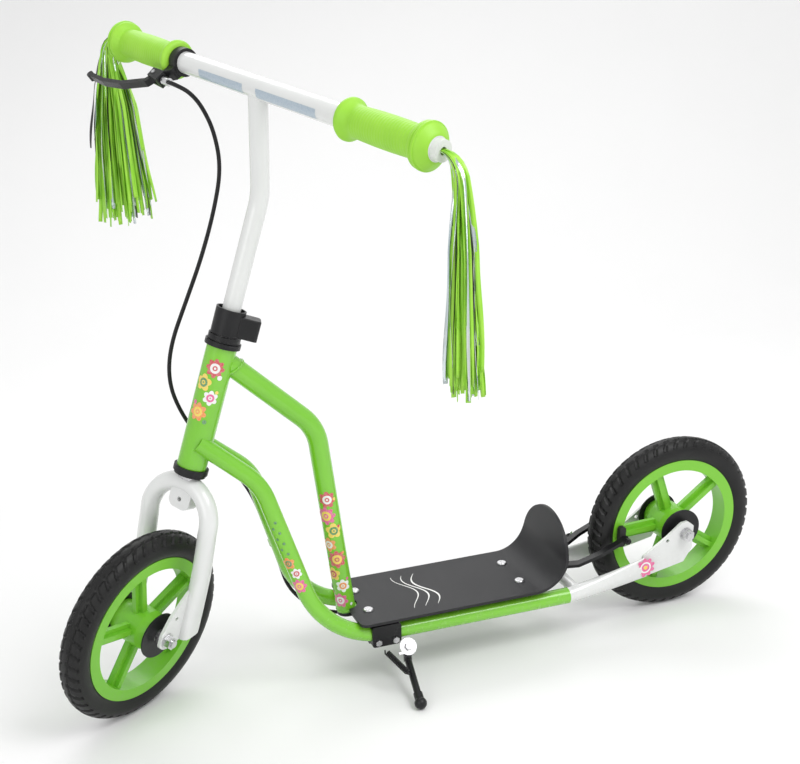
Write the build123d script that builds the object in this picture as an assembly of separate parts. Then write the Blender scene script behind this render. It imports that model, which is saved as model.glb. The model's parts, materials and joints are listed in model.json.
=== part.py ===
from build123d import *
import os
from math import atan2, cos, degrees, radians, sin, tan

# Child's kick scooter, millimetres. Design frame: scooter upright and steering straight,
# +X forward, +Y to the rider's left, +Z up, origin on the ground under the rear axle.
# At the end every piece is steered, leaned on the kickstand and moved to the row frame.

# ---- driving dimensions ----
wheel_radius = 127.5
tyre_width = 36.0
rim_radius = 98.0
rim_width = 29.6
axle_radius = 5.0
dropout_inner = 41.0
dropout_thick = 4.0
axle_half_length = 57.0

head_angle = 71.85
head_x = 679.0
head_z = 322.0
head_length = 152.7
head_tube_radius = 18.2
head_bore_radius = 15.0
fork_rake = 22.0
steer_turn = 36.0
bar_turn = -15.3
lean_angle = 2.75
pitch_angle = 0.05

steerer_radius = 12.7
steerer_bore = 11.17
steerer_top = 192.7
stem_radius = 11.1
stem_bottom = 95.0
stem_bend_z = 330.7
bar_forward = 39.8
bar_z = 443.3
bar_radius = 12.4
bar_half = 290.0
grip_start = 156.0

top_tube_radius = 12.7
rail_radius = 11.1
rail_y = 50.0
rail_z = 69.5
tube_wall = 1.6
deck_half_width = 65.5
deck_top = 93.5
deck_thick = 4.0
deck_front = 489.0
tail_start = 236.0
tail_bend = 45.0
tail_angle = 80.0
tail_height = 181.0
tail_shoulder = 120.0
crossbar_x = (467.0, 248.0)
crossbar_half = 15.0
deck_bolt_y = 28.0
top_tube_end = (488.2, 86.0)

cable_radius = 2.5
gap = 0.4

# ---- frames ----
head_down = radians(head_angle)
steer_dir = Vector(-cos(head_down), 0, sin(head_down))
fork_dir = Vector(sin(head_down), 0, cos(head_down))
head_base = Vector(head_x, 0, head_z)
axle_drop = (head_z + fork_dir.Z * fork_rake - wheel_radius) / steer_dir.Z
head_plane = Plane(origin=head_base, x_dir=fork_dir, z_dir=steer_dir)
head_place = head_plane.location
fork_place = head_place * Rot(0, 0, steer_turn)
bar_place = head_place * Rot(0, 0, steer_turn + bar_turn)
front_axle = Pos(fork_rake, 0, -axle_drop)
rear_axle = Pos(0, 0, wheel_radius)
lean = Rot(-lean_angle, 0, 0) * Rot(0, pitch_angle, 0)

nodes = {}


def keep(name, shapes, place=Location()):
    """Put the solids of one node in the leaned row frame."""
    listed = shapes if isinstance(shapes, (list, tuple)) else [shapes]
    solids = []
    for shape in listed:
        solids += [lean * place * solid for solid in shape.solids()]
    nodes[name] = solids


# ---- small builders ----
def rod(start, end, radius, bore=0.0):
    """Round bar or tube between two points."""
    start = Vector(*start)
    along = Vector(*end) - start
    turned = Plane(origin=start, z_dir=along)
    bar = extrude(turned * Circle(radius), along.length)
    if bore:
        bar -= extrude(turned * Circle(bore), along.length)
    return bar


def ring(along, low, high, radius, bore):
    """Ring about a row axis, from low to high along it."""
    ends = {"Y": ((0, low, 0), (0, high, 0)), "Z": ((0, 0, low), (0, 0, high))}[along]
    return rod(ends[0], ends[1], radius, bore)


def hexagon(start, end, across_flats, bore):
    """Hexagon nut between two points."""
    start = Vector(*start)
    along = Vector(*end) - start
    turned = Plane(origin=start, z_dir=along)
    nut = extrude(turned * RegularPolygon(across_flats / 2, 6, major_radius=False), along.length)
    return nut - extrude(turned * Circle(bore), along.length)


def block(low, high):
    """Box from its lowest to its highest corner."""
    size = [high[i] - low[i] for i in range(3)]
    middle = [(high[i] + low[i]) / 2 for i in range(3)]
    return Pos(*middle) * Box(*size)


def bent_tube(points, radii, radius, wall=0.0):
    """Tube along straight runs joined by arcs."""
    path = FilletPolyline(*points, radius=radii)
    section = Plane(origin=path @ 0, z_dir=path % 0)
    tube = sweep(section * Circle(radius), path=path)
    if wall:
        tube -= sweep(section * Circle(radius - wall), path=path)
    return tube


def revolved(profile, axis=Axis.Y):
    """Solid of revolution of (along Y, radius) points about the Y axis."""
    outline = Plane.YZ * make_face(Polyline(*profile, close=True))
    return revolve(outline, axis)


def mirror_y(shape):
    return mirror(shape, about=Plane.XZ)


# ---- wheels ----
def tyre():
    section_radius = tyre_width / 2
    section = Pos(0, wheel_radius - section_radius) * Circle(section_radius)
    section -= Pos(0, rim_radius / 2) * Rectangle(tyre_width * 2, rim_radius)
    return revolve(Plane.YZ * section, Axis.Y)


def rim():
    half = rim_width / 2
    wheel = revolved([(-half, 83), (half, 83), (half, rim_radius), (-half, rim_radius)])
    barrel = revolved([(-30, 11.2), (30, 11.2), (30, 22), (half, 26), (-half, 26), (-30, 22)])
    spokes = []
    for turn in range(5):
        rib = block((-3.5, -9, 20), (3.5, 9, 85))
        web = block((-9.5, -3, 20), (9.5, 3, 85))
        spokes.append(Rot(0, 72 * turn + 20, 0) * (rib + web))
    body = wheel + barrel
    for spoke in spokes:
        body += spoke
    return body


def hub_caps():
    cap = ring("Y", 30.0, 31.6, 30.0, 8.6)
    return [cap, mirror_y(cap)]


def wheel_bearings():
    bearing = ring("Y", 21.0, 29.0, 11.2, axle_radius + 0.05)
    return [bearing, mirror_y(bearing)]


def add_wheel(name, place):
    keep(name + "_tyre", tyre(), place)
    keep(name + "_rim", rim(), place)
    keep(name + "_hub_caps", hub_caps(), place)
    keep(name + "_bearings", wheel_bearings(), place)


def add_axle(name, place):
    outer = dropout_inner + dropout_thick
    keep(name + "_axle", rod((0, -axle_half_length, 0), (0, axle_half_length, 0), axle_radius), place)
    spacer = ring("Y", 32.3, dropout_inner, 8.0, axle_radius)
    washer = ring("Y", outer, outer + 1.6, 9.5, axle_radius)
    nut = hexagon((0, outer + 1.6, 0), (0, outer + 9.4, 0), 15.0, axle_radius)
    fasteners = [spacer, washer, nut]
    keep(name + "_axle_nuts", fasteners + [mirror_y(piece) for piece in fasteners], place)


# ---- frame ----
head_outer = head_place * rod((0, 0, -1), (0, 0, head_length + 1), head_tube_radius)
rail_points = [
    (672.0, 11.6, 355.0),
    (601.0, 22.0, 294.0),
    (532.0, rail_y, rail_z),
    (185.0, rail_y, rail_z),
]
top_tube_points = [(635.8, 0, 453.9), (521.2, 0, 348.6), (top_tube_end[0], 0, top_tube_end[1])]


def head_tube():
    return head_place * ring("Z", 0, head_length, head_tube_radius, head_bore_radius)


def headset_cups():
    lower = ring("Z", -7.0, 0, 21.3, 13.2)
    upper = ring("Z", head_length, head_length + 6.0, 21.5, 13.2)
    return [head_place * lower, head_place * upper]


def headset_bearings():
    pair = []
    for low in (1.0, head_length - 8.0):
        pair.append(head_place * ring("Z", low, low + 7.0, head_bore_radius, steerer_radius + 0.05))
    return pair


def top_tube():
    tube = bent_tube(top_tube_points, 64.0, top_tube_radius, tube_wall)
    return tube - head_outer


def rail(side):
    points = [(x, y * side, z) for x, y, z in rail_points]
    tube = bent_tube(points, [80.0, 112.0], rail_radius, tube_wall)
    return tube - head_outer


def rail_solid(side):
    points = [(x, y * side, z) for x, y, z in rail_points[1:]]
    return bent_tube(points, [112.0], rail_radius)


def stay(side):
    """White tail of the rail, flattened towards the dropout plate."""
    start = Plane(origin=(185.0, rail_y, rail_z), x_dir=(0, 1, 0), z_dir=(-1, 0, 0))
    middle = Plane(origin=(120.0, 47.5, 77.0), x_dir=(0, 1, 0), z_dir=(-1, 0, 0.12))
    end = Plane(origin=(62.0, 45.0, 86.5), x_dir=(0, 1, 0), z_dir=(-1, 0, 0.2))
    shape = loft([start * Circle(rail_radius), middle * Ellipse(8.0, 13.0), end * Ellipse(3.9, 15.5)])
    return shape if side > 0 else mirror_y(shape)


def dropout(side):
    """Rear plate with the axle slot and an eyelet."""
    outline = [(66, 71), (0, 84), (-12, 104), (-12, 138), (-2, 146), (8, 145), (30, 127), (66, 103)]
    face = make_face(Polyline(*outline, close=True))
    face = fillet(face.vertices(), 3.5)
    face -= Pos(0, wheel_radius) * Circle(axle_radius + 0.1)
    face -= Pos(28, 121) * Circle(2.6)
    plate = Plane.XZ.offset(-dropout_inner) * face
    shape = extrude(plate, -dropout_thick)
    return shape if side > 0 else mirror_y(shape)


def rear_bridge():
    tube = rod((174.0, -rail_y, 77.0), (174.0, rail_y, 77.0), 8.0)
    for side in (1, -1):
        tube -= rod((190.0, rail_y * side, rail_z), (184.9, rail_y * side, rail_z), rail_radius)
        tube -= stay(side)
    return tube - calliper_bolt_shape()


def deck_bolt_spots():
    return [(x, y) for x in crossbar_x for y in (deck_bolt_y, -deck_bolt_y)]


def crossbar(x):
    low = rail_z + 6.5
    bar = block((x - crossbar_half, -49.6, low), (x + crossbar_half, 49.6, deck_top - deck_thick))
    for side in (1, -1):
        bar -= rail_solid(side)
    for bolt_x, bolt_y in deck_bolt_spots():
        bar -= rod((bolt_x, bolt_y, 60), (bolt_x, bolt_y, 100), 3.2)
    return bar


def front_crossbar():
    bar = crossbar(crossbar_x[0])
    tab = block((480.0, -12.0, 80.0), (488.2, 12.0, 85.9)) + rod((488.2, 0, 80.0), (488.2, 0, 85.9), 12.0)
    bar += tab
    return bar - bent_tube(top_tube_points, 64.0, top_tube_radius)


def deck():
    """Flat plate with the tail swept up behind the heel, and a notch for the top tube."""
    middle_z = deck_top - deck_thick / 2
    path = FilletPolyline(
        (deck_front, middle_z),
        (tail_start - tail_bend * tan(radians(tail_angle / 2)), middle_z),
        (tail_start - tail_bend * tan(radians(tail_angle / 2)) * (1 + cos(radians(tail_angle))),
         middle_z + tail_bend * tan(radians(tail_angle / 2)) * sin(radians(tail_angle)) + 52.4),
        radius=tail_bend,
    )
    strip = Plane.XZ * trace(path, deck_thick)
    plate = extrude(strip, deck_half_width * 2 + 4, both=True)
    outline = Plane.YZ * (
        Pos(0, (60 + tail_shoulder) / 2) * Rectangle(deck_half_width * 2, tail_shoulder - 60)
        + Pos(0, tail_shoulder) * Ellipse(deck_half_width, tail_height - tail_shoulder)
    )
    plate &= extrude(outline, 600)
    plate -= rod((top_tube_end[0] + 1, 0, 80), (top_tube_end[0] + 1, 0, 100), 15.5)
    plate -= block((488, -15.5, 80), (500, 15.5, 100))
    for x, y in deck_bolt_spots():
        plate -= rod((x, y, 80), (x, y, 100), 3.2)
    corners = plate.edges().filter_by(Axis.Z).sort_by(Axis.X)
    corners = [edge for edge in corners if abs(edge.center().Y) > deck_half_width - 1]
    return fillet(corners, 9.0)


def deck_bolts():
    bolts = []
    for x, y in deck_bolt_spots():
        shank = rod((x, y, 68.0), (x, y, deck_top), 3.0)
        head = Pos(x, y, deck_top) * Cylinder(6.8, 2.4, align=(Align.CENTER, Align.CENTER, Align.MIN))
        head = fillet(head.edges().sort_by(Axis.Z)[-1], 1.8)
        bolts.append(shank + head)
    return bolts


def deck_nuts():
    low = rail_z + 6.5
    return [hexagon((x, y, low - 5.0), (x, y, low), 10.0, 3.0) for x, y in deck_bolt_spots()]


# ---- brake cable: from the lever's adjuster, round the steering head, under the deck ----
cable_route = [
    (646.9, -111.8, 750.7),
    (641.0, -95.5, 748.5),
    (629.5, -86.0, 741.5),
    (617.0, -84.5, 726.0),
    (605.0, -82.0, 697.0),
    (601.0, -77.0, 656.0),
    (615.0, -69.0, 608.0),
    (636.0, -61.0, 556.0),
    (658.0, -54.0, 512.0),
    (684.0, -46.0, 460.0),
    (691.0, -40.0, 418.0),
    (681.0, -35.0, 380.0),
    (658.0, -32.0, 338.0),
    (622.0, -34.0, 297.0),
    (597.0, -39.5, 255.0),
    (581.0, -46.0, 205.0),
    (564.0, -52.0, 150.0),
    (551.0, -54.0, 98.0),
    (512.0, -45.0, 63.0),
    (460.0, -34.0, 55.0),
    (400.0, -31.0, 52.0),
    (335.0, -32.0, 53.0),
    (278.0, -33.0, 57.0),
    (235.0, -33.0, 64.0),
    (203.0, -37.0, 85.0),
    (177.5, -41.7, 97.3),
]
cable_steer_run = 9
cable_slide_run = 6


def arc_radii(points):
    """Arc radius at each corner: as large as its two runs allow."""
    radii = []
    for i in range(1, len(points) - 1):
        before = Vector(*points[i]) - Vector(*points[i - 1])
        after = Vector(*points[i + 1]) - Vector(*points[i])
        half_turn = radians(before.get_angle(after)) / 2
        radii.append(0.45 * min(before.length, after.length) / tan(half_turn))
    return radii


def cable(name, first_run, last_run):
    """Stretch of the cable between the middles of two runs, or from the route's own ends."""
    points = [Vector(*point) for point in cable_route]
    radii = arc_radii(cable_route)
    stretch = points[first_run + 1:last_run + 1]
    bends = radii[first_run:last_run]
    start = points[0] if first_run == 0 else (points[first_run] + points[first_run + 1]) / 2
    end = points[-1] if last_run == len(points) - 2 else (points[last_run] + points[last_run + 1]) / 2
    start += (stretch[0] - start).normalized() * gap / 2
    end += (stretch[-1] - end).normalized() * gap / 2
    path = FilletPolyline(start, *stretch, end, radius=bends)
    tube = sweep(Plane(origin=path @ 0, z_dir=path % 0) * Circle(cable_radius), path=path)
    expected = path.length * Circle(cable_radius).area
    print(name, "length", round(path.length, 1), "volume ratio", round(tube.volume / expected, 4))
    print("  radii", [round(bend) for bend in bends])
    return tube


guide_spots = ((15, (565.2, -36.5, 177.5)), (21, (306.5, -rail_y, rail_z)))


def cable_guides():
    """Short sleeves on welded tabs that hold the cable beside the right-hand rail."""
    guides = []
    for run, rail_middle in guide_spots:
        a = Vector(*cable_route[run])
        b = Vector(*cable_route[run + 1])
        middle = (a + b) / 2
        half = (b - a).normalized() * 5.0
        sleeve = rod(tuple(middle - half), tuple(middle + half), 4.0)
        tab_plane = Plane(origin=middle, x_dir=half, z_dir=Vector(*rail_middle) - middle)
        tab = extrude(tab_plane * Rectangle(8.0, 2.5), 12.0)
        guide = sleeve + tab
        guide -= rod(tuple(middle - half * 2), tuple(middle + half * 2), cable_radius + 0.05)
        guide -= bent_tube([(x, -y, z) for x, y, z in rail_points], [80.0, 112.0], rail_radius)
        guides.append(guide.solids().sort_by(SortBy.VOLUME)[-1])
    return guides


# ---- rear brake calliper ----
calliper_tilt = 23.0
calliper_base = Location((174.0, 0, 77.0)) * Rot(0, calliper_tilt, 0)
arm_reach = 99.0
pad_gap = 2.2


def calliper_bolt_shape():
    return calliper_base * rod((0, 0, -13), (0, 0, 27), 3.0)


def calliper_bolt():
    shank = rod((0, 0, -13), (0, 0, 27), 3.0)
    lower_nut = hexagon((0, 0, -13), (0, 0, -8.0), 10.0, 2.9)
    upper_nut = hexagon((0, 0, 22.0), (0, 0, 26.0), 10.0, 2.9)
    return calliper_base * (shank + lower_nut + upper_nut)


def calliper_spacer():
    saddle = calliper_base * rod((0, 0, 3.0), (0, 0, 11.0), 7.0)
    saddle -= rod((174.0, -30, 77.0), (174.0, 30, 77.0), 8.0)
    saddle -= calliper_bolt_shape()
    return saddle


def flat_arm(points, low, high, width):
    """Flat bar that follows straight runs in the calliper's plane, with round ends."""
    shape = None
    for start, end in zip(points, points[1:]):
        run = Vector(*end) - Vector(*start)
        middle = (Vector(*start) + Vector(*end)) / 2
        turn = Rot(0, 0, degrees(atan2(run.Y, run.X)))
        piece = Pos(middle.X, middle.Y, (low + high) / 2) * turn * Box(run.length, width, high - low)
        shape = piece if shape is None else shape + piece
    for x, y in points:
        shape += rod((x, y, low), (x, y, high), width / 2)
    return shape


def arm_level(side):
    """The left arm lies under the right one."""
    return 11.3 if side > 0 else 16.6


cable_stop = (-11.0, -42.0)
wire_clamp = (-50.0, -44.0)


def calliper_arm(side):
    """One arm: pivot eye, sweep round the tyre, pad slot, and the cable end on the right."""
    low = arm_level(side)
    high = low + 5.0
    sweep_points = [(0, 0), (-26, 24 * side), (-58, 31 * side), (-arm_reach, 31 * side)]
    cable_end = [(0, 0), (-22, -27), wire_clamp] if side > 0 else [(0, 0), (-3, -24), cable_stop]
    arm = flat_arm(sweep_points, low, high, 10.0) + flat_arm(cable_end, low, high, 9.0)
    arm += rod((0, 0, low), (0, 0, high), 8.5)
    arm -= rod((0, 0, low - 1), (0, 0, high + 1), 3.06)
    middle = low + 2.5
    arm -= rod((-arm_reach, 20 * side, middle), (-arm_reach, 42 * side, middle), 2.0)
    return calliper_base * arm - wire_path(2.0 if side < 0 else 0.9)


def wire_path(radius):
    """Bare end of the brake wire, from the stop on one arm to the clamp on the other."""
    start = Vector(*cable_stop, arm_level(-1) + 2.5)
    end = Vector(*wire_clamp, arm_level(1) + 2.5)
    along = (end - start).normalized()
    return calliper_base * rod(tuple(start - along * 3.0), tuple(end + along * 14.0), radius)


def wire_clamp_bolt():
    x, y = wire_clamp
    low = arm_level(1) + 5.0
    return calliper_base * hexagon((x, y, low), (x, y, low + 4.5), 8.0, 0.4)


def brake_pad(side):
    """Shoe that stands along the rim, beside the arm's end."""
    spot = (calliper_base * Pos(-arm_reach, 0, arm_level(side) + 2.5)).position
    face = (rim_width / 2 + pad_gap) * side
    back = face + 7 * side
    low = (spot.X - 5, min(face, back), spot.Z - 15)
    shoe = block(low, (spot.X + 5, max(face, back), spot.Z + 15))
    return fillet(shoe.edges().filter_by(Axis.Y), 4.0)


def pad_bolt(side):
    middle = arm_level(side) + 2.5
    face = (rim_width / 2 + pad_gap + 7) * side
    stud = rod((-arm_reach, face, middle), (-arm_reach, 42 * side, middle), 2.0)
    nut = hexagon((-arm_reach, 36 * side, middle), (-arm_reach, 40.5 * side, middle), 8.0, 1.9)
    return calliper_base * (stud + nut)


# ---- kickstand ----
pivot = Vector(427.0, 67.5, 51.0)
pivot_dir = Vector(0, 0.8, 0.6)
pivot_plane = Plane(origin=pivot, x_dir=(1, 0, 0), z_dir=pivot_dir)
foot_radius = 8.0
foot_spot = Vector(441.0, 147.0, 15.45)
foot_line = foot_spot - pivot
knee_line = (foot_line - pivot_dir * foot_line.dot(pivot_dir)).normalized() * 16.0
knee_spot = pivot - pivot_dir * 3.1 + knee_line


def kickstand_bracket():
    body = block((434, 50, 56), (474, 63.0, 86))
    body = fillet(body.edges().filter_by(Axis.Y), 4.0)
    body -= rail_solid(1)
    body -= pivot_plane.location * rod((0, 0, -6.3), (0, 0, 40), 12.5)
    inner = block((434, 36.5, 56), (474, 50, 60.5))
    body += inner - rail_solid(1)
    ear = pivot_plane.location * rod((0, 0, -11.0), (0, 0, -6.6), 10.5)
    neck = pivot_plane.location * block((0, -8.0, -11.0), (22, 9.0, -6.6))
    body += ear + neck
    body -= rail_solid(1)
    body -= pivot_plane.location * rod((0, 0, -30), (0, 0, 10), 4.0)
    return body.solids().sort_by(SortBy.VOLUME)[-1]


def bracket_bolts():
    bolts = []
    for x in (442.0, 466.0):
        bolts.append(hexagon((x, 63.0, 63.0), (x, 66.0, 63.0), 8.0, 0.6) + rod((x, 63, 63), (x, 67, 63), 2.5))
    return bolts


def kickstand_pivot_bolt():
    place = pivot_plane.location
    shank = rod((0, 0, -14.0), (0, 0, 3.2), 3.95)
    head = hexagon((0, 0, 3.2), (0, 0, 6.4), 9.0, 0.5) + rod((0, 0, 3.2), (0, 0, 6.4), 4.0)
    nut = hexagon((0, 0, -14.0), (0, 0, -11.0), 11.0, 3.9)
    return place * (shank + head + nut)


def kickstand_leg():
    """Eye on the pivot, a short neck under the disc, and the splayed leg."""
    eye = pivot_plane.location * rod((0, 0, -6.2), (0, 0, 0.0), 9.5)
    neck_plane = Plane(origin=knee_spot - knee_line, x_dir=pivot_dir, z_dir=knee_line)
    neck = extrude(neck_plane * Rectangle(5.6, 9.6), 19.0)
    leg = rod(tuple(knee_spot), tuple(foot_spot), 4.6)
    body = eye + neck + leg
    return body - pivot_plane.location * rod((0, 0, -7), (0, 0, 1), 4.0)


def kickstand_disc():
    disc = rod((0, 0, 0.0), (0, 0, 2.6), 11.4, 4.0)
    hook = block((8.0, 5.5, 0.0), (14.5, 8.5, 2.6))
    return pivot_plane.location * (disc + hook)


def kickstand_foot():
    along = (foot_spot - knee_spot).normalized()
    sleeve = rod(tuple(foot_spot - along * 16.0), tuple(foot_spot), 6.0)
    foot = Pos(*foot_spot) * Sphere(foot_radius) + sleeve
    return foot - rod(tuple(knee_spot), tuple(foot_spot), 4.6)


def kickstand_spring():
    return rod((458.0, 72.5, 52.0), (443.0, 108.0, 38.5), 3.2)


# ---- fork, in the head frame: X forward, Y left, Z up the steering axis ----
arch_points = [(-10.0, 47.0, -128.0), (0, 44.0, -22.0), (0, -44.0, -22.0), (-10.0, -47.0, -128.0)]


def fork_arch():
    return bent_tube(arch_points, 41.0, 11.5, 2.0)


def arch_solid():
    return bent_tube(arch_points, 41.0, 11.5)


def steerer():
    tube = ring("Z", -16.0, steerer_top, steerer_radius, steerer_bore)
    return tube - arch_solid()


def crown_gusset():
    web = block((-8, -16, -55), (8, 16, -26))
    web = fillet(web.edges().filter_by(Axis.X).sort_by(Axis.Z)[:2], 10.0)
    web -= arch_solid()
    web -= rod((-20, 0, -43), (20, 0, -43), 3.0)
    return web.solids().sort_by(SortBy.VOLUME)[-1]


def blade_end(side):
    """Blade flattened to a plate that reaches forward to the axle."""
    top = Plane(origin=(-10.0, 47.0, -128.0), x_dir=(0, 1, 0), z_dir=(0, 0, -1))
    wide = Plane(origin=(-11.5, 45.4, -158.0), x_dir=(0, 1, 0), z_dir=(0, 0, -1))
    shape = loft([top * Circle(11.5), wide * Ellipse(4.4, 25.0)])
    drop = -axle_drop
    outline = [(-36.5, -150), (13.5, -150), (24, -172), (34, -204), (34, drop - 8), (26, drop - 13),
               (10, drop - 12), (4, -216), (-30, -219), (-36, -212)]
    face = make_face(Polyline(*outline, close=True))
    face = fillet(face.vertices(), 3.0)
    face -= Pos(fork_rake, drop) * Circle(axle_radius + 0.1)
    face -= Pos(15.0, -185) * Circle(2.6)
    plate = extrude(Plane.XZ.offset(-dropout_inner) * face, -dropout_thick)
    shell_outline = [(-36.5, -150), (8, -150), (11, -172), (6, -206), (-2, -214), (-30, -217), (-36, -210)]
    shell_face = fillet(make_face(Polyline(*shell_outline, close=True)).vertices(), 3.0)
    shell = extrude(Plane.XZ.offset(-dropout_inner - 3.9) * shell_face, -4.9)
    body = shape + plate + shell - arch_solid()
    return body if side > 0 else mirror_y(body)


def crown_race():
    return ring("Z", -10.3, -7.4, 19.5, steerer_radius) - arch_solid()


def lock_ring():
    return ring("Z", head_length + 6.5, head_length + 13.5, 19.5, steerer_radius)


def stem_clamp():
    collar = ring("Z", 169.0, 190.0, 15.6, steerer_radius)
    lug = block((13.0, -6.0, 171.0), (30.0, 6.0, 188.0)) - rod((0, 0, 160), (0, 0, 200), 14.2)
    slit = block((10.0, -1.0, 160.0), (31.0, 1.0, 200.0))
    clamp = collar + lug - slit - rod((22, -10, 179.5), (22, 10, 179.5), 3.0)
    return Rot(0, 0, 130) * clamp


def clamp_cover():
    outer = ring("Z", 167.0, 198.0, 18.0, 15.9)
    box = fillet(block((10.0, -13.0, 168.0), (37.0, 13.0, 193.0)).edges().filter_by(Axis.Z), 5.0)
    box = fillet(box.edges().group_by(Axis.Z)[-1], 2.0) - block((0, -10.5, 166.0), (34.5, 10.5, 191.0))
    cover = outer + (box - rod((0, 0, 160), (0, 0, 200), 17.0)) - block((10, -10.5, 166.5), (20, 10.5, 191))
    return Rot(0, 0, 130) * cover


def clamp_bolt():
    bolt = rod((22, -9.5, 179.5), (22, 9.5, 179.5), 2.95)
    head = hexagon((22, 6.0, 179.5), (22, 9.8, 179.5), 9.0, 2.9)
    nut = hexagon((22, -9.8, 179.5), (22, -6.0, 179.5), 9.0, 2.9)
    return Rot(0, 0, 130) * (bolt + head + nut)


# ---- handlebar, in the same frame with its own turn ----
stem_points = [(0, 0, stem_bottom), (0, 0, stem_bend_z), (bar_forward, 0, bar_z)]
bar_middle = Pos(bar_forward, 0, bar_z)
lever_out = Vector(0.55, 0, -0.835).normalized()
lever_pivot = Vector(bar_forward, -170.0, bar_z) + lever_out * 29.0
lever_axis = Vector(0, 1, 0).cross(lever_out)


def bar_solid():
    return bar_middle * rod((0, -bar_half, 0), (0, bar_half, 0), bar_radius)


def stem():
    return bent_tube(stem_points, 85.0, stem_radius, 1.7) - bar_solid()


def t_bar():
    return bar_middle * rod((0, -bar_half, 0), (0, bar_half, 0), bar_radius, bar_radius - 2.0)


def grip():
    """Rubber grip: inner flange, handle, stepped bell at the outer end."""
    profile = [
        (grip_start, bar_radius), (grip_start, 19.5), (grip_start + 4, 22.0), (grip_start + 8, 21.0),
        (grip_start + 14, 16.6), (grip_start + 60, 16.2), (grip_start + 112, 17.4), (grip_start + 116, 23.6),
        (grip_start + 120, 24.6), (grip_start + 128, 23.0), (grip_start + 134, 13.6), (grip_start + 134, bar_radius),
    ]
    return bar_middle * revolved(profile)


def end_plug():
    cap = ring("Y", bar_half, bar_half + 8.0, 10.8, 4.0)
    stub = ring("Y", bar_half - 14.0, bar_half, bar_radius - 2.0, 4.0)
    return bar_middle * (cap + stub)


yoke_outline = [(6, 10), (18, 10), (16, 20), (6, 25), (5, 37), (-16, 35.5), (-16, 23.5), (4.8, 23.5)]
yoke_plane = Plane(origin=(bar_forward, -160, bar_z), x_dir=(0, 1, 0), z_dir=lever_axis)


def lever_bracket():
    """Clamp ring on the bar with the lever's yoke below and in front of it."""
    body = extrude(yoke_plane * make_face(Polyline(*yoke_outline, close=True)), 7.5, both=True)
    body -= extrude(yoke_plane * Pos(-21.8, 30.0) * Rectangle(36.4, 40), 4.9, both=True)
    body += bar_middle * rod((0, -154, 0), (0, -142, 0), 16.0)
    body += bar_middle * block((-27, -153, -10), (-11, -143, 2))
    body -= bar_middle * block((-30, -160, -4.6), (-11, -130, -3.2))
    body -= bar_middle * rod((0, -175, 0), (0, -100, 0), bar_radius)
    low, high = pin_ends(12.0)
    body -= rod(low, high, 2.5)
    body -= adjuster_rod(-158.0, -141.0, 3.5)
    body -= bracket_screw()
    return body.solids().sort_by(SortBy.VOLUME)[-1]


def pin_ends(half):
    low = lever_pivot - lever_axis * half
    high = lever_pivot + lever_axis * half
    return tuple(low), tuple(high)


def lever_pin():
    low, high = pin_ends(8.6)
    return rod(low, high, 2.5)


def bracket_screw():
    shank = rod((-21, -148, -12), (-21, -148, 4), 2.4)
    head = rod((-21, -148, 2), (-21, -148, 5), 4.0)
    return bar_middle * (shank + head)


def adjuster_rod(start, end, radius):
    low = Vector(bar_forward, start, bar_z) + lever_out * 31.0
    high = Vector(bar_forward, end, bar_z) + lever_out * 31.0
    return rod(tuple(low), tuple(high), radius)


def adjuster():
    return adjuster_rod(-158.0, -141.0, 3.5) + adjuster_rod(-153.2, -141.0, 4.8)


def lever_blade():
    """Two-finger blade: eye on the pin, bend outwards, then along the grip."""
    plane = Plane(origin=(bar_forward, 0, bar_z), x_dir=(0, 1, 0), z_dir=lever_axis)
    flat = [(-170.0, 29.0), (-178.0, 41.0), (-215.0, 55.0), (-250.0, 60.0), (-283.0, 59.0)]
    shape = None
    for start, end in zip(flat, flat[1:]):
        a = Vector(*start)
        b = Vector(*end)
        run = b - a
        centre = (a + b) / 2
        bar = Pos(centre.X, centre.Y, 0) * Rot(0, 0, degrees(atan2(run.Y, run.X)))
        piece = bar * Box(run.length, 5.4, 9.0)
        shape = piece if shape is None else shape + piece
    for y, distance in flat[1:]:
        shape += rod((y, distance, -4.5), (y, distance, 4.5), 2.7)
    shape += rod((flat[0][0], flat[0][1], -4.5), (flat[0][0], flat[0][1], 4.5), 5.2)
    shape += rod((flat[-1][0], flat[-1][1], -4.5), (flat[-1][0], flat[-1][1], 4.5), 4.2)
    shape -= rod((flat[0][0], flat[0][1], -9), (flat[0][0], flat[0][1], 9), 2.55)
    return plane.location * shape


def tassel(side, drop, spread, top_radius):
    """Closed stand-in for a bundle of streamers: out of the plug, over, and straight down."""
    start = (lean * bar_place * Pos(bar_forward, side * (bar_half + 8.5), bar_z)).position
    outward = (lean * bar_place * Pos(bar_forward, side * (bar_half + 60.0), bar_z)).position - start
    flat_out = Vector(outward.X, outward.Y, 0).normalized()
    knee = start + outward.normalized() * 18.0
    path = FilletPolyline(start, knee, knee - Vector(0, 0, 34.0), radius=13.0)
    hook = sweep(Plane(origin=path @ 0, z_dir=path % 0) * Circle(top_radius), path=path)
    upper = Plane(origin=path @ 1, x_dir=flat_out, z_dir=(0, 0, -1))
    waist = Plane(origin=(path @ 1) - Vector(0, 0, drop * 0.35), x_dir=flat_out, z_dir=(0, 0, -1))
    lower = Plane(origin=knee - Vector(0, 0, drop), x_dir=flat_out, z_dir=(0, 0, -1))
    sides = [Circle(top_radius), Ellipse(spread * 0.72, spread * 0.8), Ellipse(spread * 0.85, spread)]
    fall = loft([upper * sides[0], waist * sides[1], lower * sides[2]])
    return hook + fall


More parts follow.
